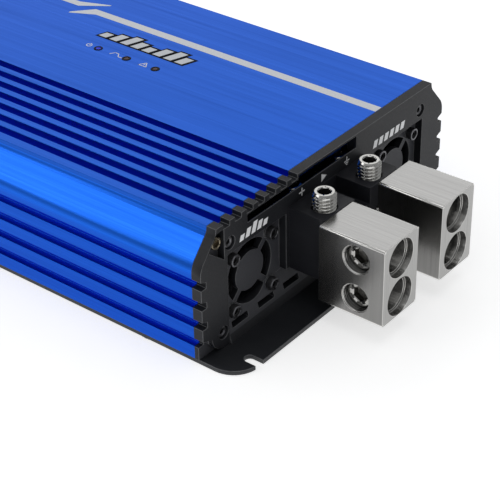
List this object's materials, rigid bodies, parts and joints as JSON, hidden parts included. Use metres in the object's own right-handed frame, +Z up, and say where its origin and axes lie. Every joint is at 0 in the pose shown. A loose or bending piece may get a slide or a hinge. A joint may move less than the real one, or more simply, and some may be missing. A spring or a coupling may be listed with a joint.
{
  "type": "car audio amplifier",
  "caption": "Long flat car amplifier: blue ribbed aluminium case, black end caps and base sheet, end fans, screw terminals and twin-cable adapter blocks.",
  "frame": {"origin": "centre of the underside of the base plate", "axes": "+X along the case towards the power terminals, +Y across it away from the ribbed edge, +Z up"},
  "size_m": [0.406, 0.1652, 0.0582],
  "materials": {
    "blue_anodised": "brushed, blue anodised",
    "black_sheet": "satin black powder coat",
    "black_casting": "satin black, fine texture",
    "black_plastic": "matte moulded",
    "nickel_block": "brushed nickel plate over brass",
    "nickel_bar": "nickel plate over brass",
    "bright_screw": "nickel plated steel",
    "black_screw": "black oxide",
    "zinc_screw": "zinc plated",
    "fan_plastic": "glass-filled, black",
    "led_blue": "tinted, clear",
    "led_red": "dark red tint",
    "bezel": "gloss black",
    "board": "green solder mask",
    "capacitor": "sleeved can",
    "ferrite": "enamelled winding on a core",
    "transistor": "epoxy package with a metal tab",
    "clamp": "zinc plated strip",
    "rca_shell": "nickel plate",
    "rca_core": "white insulator",
    "knob": "black",
    "port": "black"
  },
  "bodies": {
    "chassis": {"heatsink_shell": "blue_anodised", "base_plate": "black_sheet", "base_screws": "black_screw", "terminal_end_cap": "black_casting", "control_end_cap": "black_casting", "end_cap_screws": "black_screw", "corner_insert": "bright_screw", "fan_frame_near": "fan_plastic", "fan_frame_far": "fan_plastic", "fan_screws": "black_screw", "power_terminal_housing": "black_plastic", "positive_terminal_bar": "nickel_bar", "ground_terminal_bar": "nickel_bar", "remote_terminal": "nickel_bar", "positive_adapter_block": "nickel_block", "ground_adapter_block": "nickel_block", "potentiometers": "black_plastic", "rca_jack_shells": "rca_shell", "rca_insulators": "rca_core", "remote_level_port": "port", "preamp_board": "board", "speaker_terminal_housing": "black_plastic", "speaker_positive_bar": "nickel_bar", "speaker_negative_bar": "nickel_bar", "main_board": "board", "board_standoffs": "zinc_screw", "board_screws": "zinc_screw", "input_capacitors": "capacitor", "rail_capacitors": "capacitor", "power_transformers": "ferrite", "output_inductors": "ferrite", "transistors_near": "transistor", "transistors_far": "transistor", "clamp_bar_near": "clamp", "clamp_bar_far": "clamp", "clamp_screws": "zinc_screw", "led_bezels": "bezel", "power_light": "led_blue", "status_lights": "led_red", "led_board": "board"},
    "positive_front_set_screw": {"positive_front_set_screw": "bright_screw"},
    "positive_rear_set_screw": {"positive_rear_set_screw": "bright_screw"},
    "ground_front_set_screw": {"ground_front_set_screw": "bright_screw"},
    "ground_rear_set_screw": {"ground_rear_set_screw": "bright_screw"},
    "positive_lower_cable_screw": {"positive_lower_cable_screw": "bright_screw"},
    "ground_lower_cable_screw": {"ground_lower_cable_screw": "bright_screw"},
    "positive_upper_cable_screw": {"positive_upper_cable_screw": "bright_screw"},
    "ground_upper_cable_screw": {"ground_upper_cable_screw": "bright_screw"},
    "remote_screw": {"remote_screw": "bright_screw"},
    "speaker_positive_screw": {"speaker_positive_screw": "bright_screw"},
    "speaker_negative_screw": {"speaker_negative_screw": "bright_screw"},
    "fan_rotor_near": {"fan_rotor_near": "fan_plastic"},
    "fan_rotor_far": {"fan_rotor_far": "fan_plastic"},
    "gain_knob": {"gain_knob": "knob"},
    "low_pass_knob": {"low_pass_knob": "knob"},
    "high_pass_knob": {"high_pass_knob": "knob"},
    "bass_boost_knob": {"bass_boost_knob": "knob"}
  },
  "joints": [
    {"name": "positive_front_set_screw_travel", "type": "slide", "parent": "chassis", "child": "positive_front_set_screw", "axis": [0, 0, 1], "range_m": [0, 0.006]},
    {"name": "positive_rear_set_screw_travel", "type": "slide", "parent": "chassis", "child": "positive_rear_set_screw", "axis": [0, 0, 1], "range_m": [0, 0.0013]},
    {"name": "ground_front_set_screw_travel", "type": "slide", "parent": "chassis", "child": "ground_front_set_screw", "axis": [0, 0, 1], "range_m": [0, 0.006]},
    {"name": "ground_rear_set_screw_travel", "type": "slide", "parent": "chassis", "child": "ground_rear_set_screw", "axis": [0, 0, 1], "range_m": [0, 0.0013]},
    {"name": "positive_lower_cable_screw_travel", "type": "slide", "parent": "chassis", "child": "positive_lower_cable_screw", "axis": [0, 1, 0], "range_m": [-0.005, 0.0015]},
    {"name": "ground_lower_cable_screw_travel", "type": "slide", "parent": "chassis", "child": "ground_lower_cable_screw", "axis": [0, -1, 0], "range_m": [-0.005, 0.0015]},
    {"name": "positive_upper_cable_screw_travel", "type": "slide", "parent": "chassis", "child": "positive_upper_cable_screw", "axis": [0, 1, 0], "range_m": [-0.005, 0.0015]},
    {"name": "ground_upper_cable_screw_travel", "type": "slide", "parent": "chassis", "child": "ground_upper_cable_screw", "axis": [0, -1, 0], "range_m": [-0.005, 0.0015]},
    {"name": "remote_screw_travel", "type": "slide", "parent": "chassis", "child": "remote_screw", "axis": [0, 0, 1], "range_m": [-0.001, 0.0012]},
    {"name": "speaker_positive_screw_travel", "type": "slide", "parent": "chassis", "child": "speaker_positive_screw", "axis": [0, 0, 1], "range_m": [-0.0035, 0.0025]},
    {"name": "speaker_negative_screw_travel", "type": "slide", "parent": "chassis", "child": "speaker_negative_screw", "axis": [0, 0, 1], "range_m": [-0.0035, 0.0025]},
    {"name": "fan_rotor_near_turn", "type": "hinge", "parent": "chassis", "child": "fan_rotor_near", "pos_m": [0.16, -0.0493, 0.0258], "axis": [1, 0, 0], "continuous": true},
    {"name": "fan_rotor_far_turn", "type": "hinge", "parent": "chassis", "child": "fan_rotor_far", "pos_m": [0.16, 0.0493, 0.0258], "axis": [1, 0, 0], "continuous": true},
    {"name": "gain_knob_turn", "type": "hinge", "parent": "chassis", "child": "gain_knob", "pos_m": [-0.1735, 0.006, 0.033], "axis": [-1, 0, 0], "range_deg": [-140, 140]},
    {"name": "low_pass_knob_turn", "type": "hinge", "parent": "chassis", "child": "low_pass_knob", "pos_m": [-0.1735, 0.02, 0.033], "axis": [-1, 0, 0], "range_deg": [-140, 140]},
    {"name": "high_pass_knob_turn", "type": "hinge", "parent": "chassis", "child": "high_pass_knob", "pos_m": [-0.1735, 0.034, 0.033], "axis": [-1, 0, 0], "range_deg": [-140, 140]},
    {"name": "bass_boost_knob_turn", "type": "hinge", "parent": "chassis", "child": "bass_boost_knob", "pos_m": [-0.1735, 0.048, 0.033], "axis": [-1, 0, 0], "range_deg": [-140, 140]}
  ]
}
